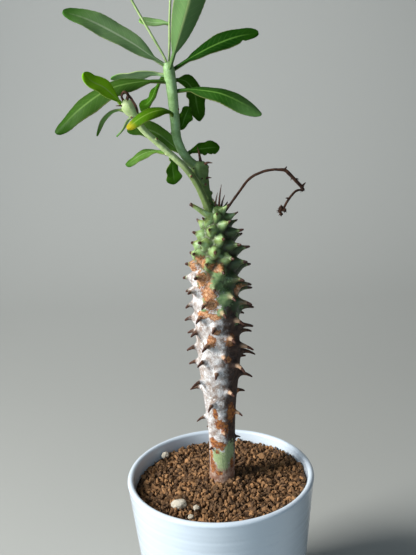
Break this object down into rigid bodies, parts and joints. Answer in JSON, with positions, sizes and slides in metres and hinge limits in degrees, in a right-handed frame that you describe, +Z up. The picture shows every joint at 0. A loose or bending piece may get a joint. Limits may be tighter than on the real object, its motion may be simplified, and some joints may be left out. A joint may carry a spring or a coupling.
{
  "type": "potted succulent",
  "caption": "Hooked succulent euphorbia with leafy shoots, wavy leaves and thin flower stalks, rooted in gritty soil in a tapered white glazed pot.",
  "frame": {"origin": "middle of the pot's flat underside", "axes": "+Z up along the pot's axis, +X to the right in the picture, -Y towards the camera"},
  "size_m": [0.1082, 0.09, 0.3233],
  "materials": {
    "glaze": "gloss",
    "grit": "matte",
    "pumice": "matte",
    "stem": "satin",
    "shoot": "satin",
    "dry": "matte",
    "flower_stalk": "satin",
    "leaf": "satin"
  },
  "bodies": {
    "root": {"pot": "glaze", "soil": "grit", "pumice_1": "pumice", "pumice_2": "pumice", "pumice_3": "pumice", "pumice_4": "pumice", "stem": "stem", "shoot_left": "shoot", "shoot_leafy": "shoot", "old_stalk": "dry", "flower_stalk_front": "flower_stalk", "flower_stalk_back": "flower_stalk", "leaf_01": "leaf", "leaf_02": "leaf", "leaf_03": "leaf", "leaf_04": "leaf", "leaf_05": "leaf", "leaf_06": "leaf", "leaf_07": "leaf", "leaf_08": "leaf", "leaf_09": "leaf", "leaf_10": "leaf", "leaf_11": "leaf", "leaf_12": "leaf", "leaf_13": "leaf", "leaf_14": "leaf", "leaf_15": "leaf", "leaf_16": "leaf", "leaf_17": "leaf"}
  },
  "joints": []
}
